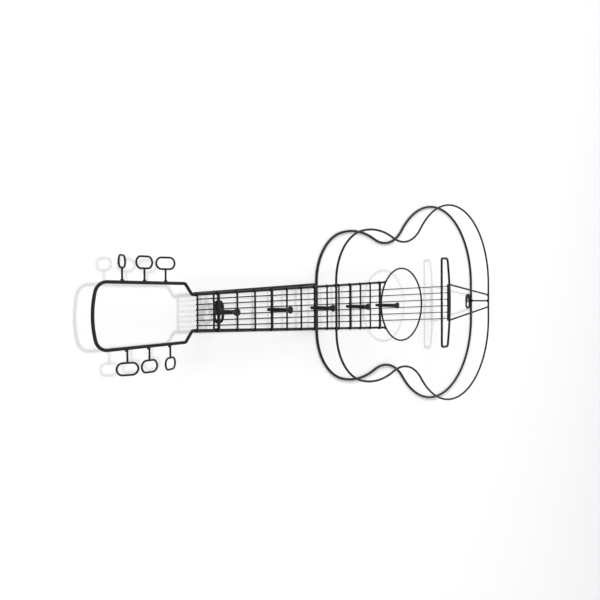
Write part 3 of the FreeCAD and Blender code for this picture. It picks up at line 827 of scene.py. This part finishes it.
# Seen directly or in a gloss, the wall is lifted to the white that it has in daylight, and
# still shows the shadows that fall on it. The key lamp only grazes the floor, so that is
# lifted more.
WALL_LIFT, FLOOR_LIFT = 0.12, 0.42
wall_facing = add_node(wall_paint, "ShaderNodeNewGeometry", {}).outputs["Normal"]
faces_up = add_node(wall_paint, "ShaderNodeSeparateXYZ", {"Vector": wall_facing}).outputs["Z"]
lift_strength = add_node(
    wall_paint,
    "ShaderNodeMapRange",
    {"Value": faces_up, "To Min": WALL_LIFT, "To Max": FLOOR_LIFT},
)
lift = add_node(
    wall_paint,
    "ShaderNodeEmission",
    {"Color": srgb("#ffffff"), "Strength": lift_strength.outputs["Result"]},
)
lifted = add_node(wall_paint, "ShaderNodeAddShader", {0: paint.outputs[0], 1: lift.outputs[0]})


def background_seen(owner):
    """1 for the rays that show the background: from the camera, in a gloss or through glass."""
    ray = add_node(owner, "ShaderNodeLightPath", {})
    seen = ray.outputs["Is Camera Ray"]
    for kind in ("Is Glossy Ray", "Is Transmission Ray"):
        either = add_node(
            owner, "ShaderNodeMath", {0: seen, 1: ray.outputs[kind]}, operation="MAXIMUM"
        )
        seen = either.outputs[0]
    return seen


front = add_node(
    wall_paint,
    "ShaderNodeMixShader",
    {0: background_seen(wall_paint), 1: paint.outputs[0], 2: lifted.outputs[0]},
)
nothing = add_node(wall_paint, "ShaderNodeBsdfTransparent", {})
behind = add_node(wall_paint, "ShaderNodeNewGeometry", {}).outputs["Backfacing"]
both = add_node(
    wall_paint, "ShaderNodeMixShader", {0: behind, 1: front.outputs[0], 2: nothing.outputs[0]}
)
add_node(wall_paint, "ShaderNodeOutputMaterial", {"Surface": both.outputs[0]})
room.data.materials.append(wall_paint)

# The room's light is soft and even. Where the camera looks past the wall it sees plain white.
ROOM_LIGHT = 0.5
PLAIN_WHITE = 1.0
world = bpy.data.worlds.new("studio_white")
world.use_nodes = True
bpy.context.scene.world = world
sky_strength = add_node(
    world,
    "ShaderNodeMapRange",
    {"Value": background_seen(world), "To Min": ROOM_LIGHT, "To Max": PLAIN_WHITE},
)
backdrop = world.node_tree.nodes["Background"]
backdrop.inputs["Color"].default_value = srgb("#ffffff")
world.node_tree.links.new(sky_strength.outputs["Result"], backdrop.inputs["Strength"])


def softbox(name, place, aim, across, power):
    """A square lamp behind a diffuser, turned to face a point."""
    bpy.ops.object.light_add(type="AREA", location=place)
    lamp = bpy.context.object
    lamp.name = name
    lamp.data.shape = "SQUARE"
    lamp.data.size = across
    lamp.data.energy = power
    lamp.rotation_euler = (Vector(aim) - Vector(place)).to_track_quat("-Z", "Y").to_euler()


rack_middle = (cad_low + cad_high) / 2
# The key lamp is far off and nearly square to the wall, so shadows fall straight behind the
# wires and a little below them. The top lamp is wide, and greys the tops of the wires.
softbox("key_lamp", place=(-0.93, -4.3, 0.33), aim=rack_middle, across=0.42, power=70)
softbox("top_lamp", place=(-0.45, -1.3, 2.0), aim=rack_middle, across=1.4, power=18)

# The viewpoint is to the left of the headstock, level with the rack. The camera's yaw, pitch
# and roll are counted in degrees from a look straight at the wall.
CAMERA_PLACE = (-1.29376, -0.69611, 0.03699)
CAMERA_TURNS = (47.92, 1.05, -0.378)
SENSOR_MM = 36
LENS_MM = 40.96
scene = bpy.context.scene
yaw, pitch, roll = (math.radians(angle) for angle in CAMERA_TURNS)
forward = Vector(
    (math.sin(yaw) * math.cos(pitch), math.cos(yaw) * math.cos(pitch), -math.sin(pitch))
)
right = Vector((math.cos(yaw), -math.sin(yaw), 0))
upward = right.cross(forward)
camera_x = right * math.cos(roll) + upward * math.sin(roll)
camera_y = upward * math.cos(roll) - right * math.sin(roll)
bpy.ops.object.camera_add()
camera = bpy.context.object
camera.matrix_world = (
    Matrix.Translation(CAMERA_PLACE)
    @ Matrix((camera_x, camera_y, -forward)).transposed().to_4x4()
)
camera.data.sensor_width = SENSOR_MM
camera.data.lens = LENS_MM
scene.camera = camera
scene.view_settings.view_transform = "Standard"
